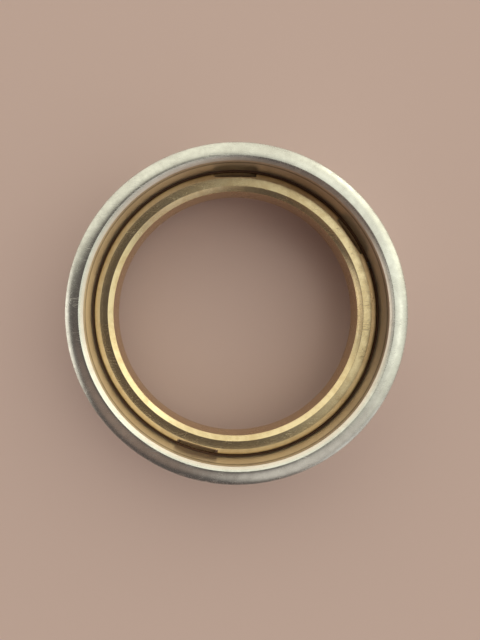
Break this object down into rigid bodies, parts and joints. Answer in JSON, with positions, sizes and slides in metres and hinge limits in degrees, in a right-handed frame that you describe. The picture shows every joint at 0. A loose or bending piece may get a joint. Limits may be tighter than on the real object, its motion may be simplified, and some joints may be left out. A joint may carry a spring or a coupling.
{
  "type": "two ring bayonet puzzle",
  "caption": "Metal ring puzzle: a brass ring turns inside a bevelled steel ring and slides out only where hidden keys meet its exit slots.",
  "frame": {"origin": "centre of the outer ring's bottom face, on the rings' shared axis", "axes": "+Z along the rings' axis, up out of the face the ring stands on; the inner ring lifts out along +Z"},
  "size_m": [0.0244, 0.0244, 0.007],
  "materials": {
    "outer_ring": "satin-polished stainless steel, lightly scratched",
    "inner_ring": "polished brass, lightly tarnished on its upper faces",
    "key": "hardened steel, tempered brown",
    "slip_ring": "bronze-filled PTFE, brown and matt"
  },
  "bodies": {
    "outer_body": {"outer_ring": "outer_ring", "key_1": "key", "key_2": "key", "key_3": "key"},
    "slip_rings": {"slip_ring_upper": "slip_ring", "slip_ring_lower": "slip_ring"},
    "inner_body": {"inner_ring": "inner_ring"}
  },
  "joints": [
    {"name": "ring_spin", "type": "hinge", "parent": "outer_body", "child": "slip_rings", "pos_m": [0, 0, 0.0035], "axis": [0, 0, 1], "continuous": true},
    {"name": "ring_withdrawal", "type": "slide", "parent": "slip_rings", "child": "inner_body", "axis": [0, 0, 1], "range_m": [0, 0.008]}
  ]
}
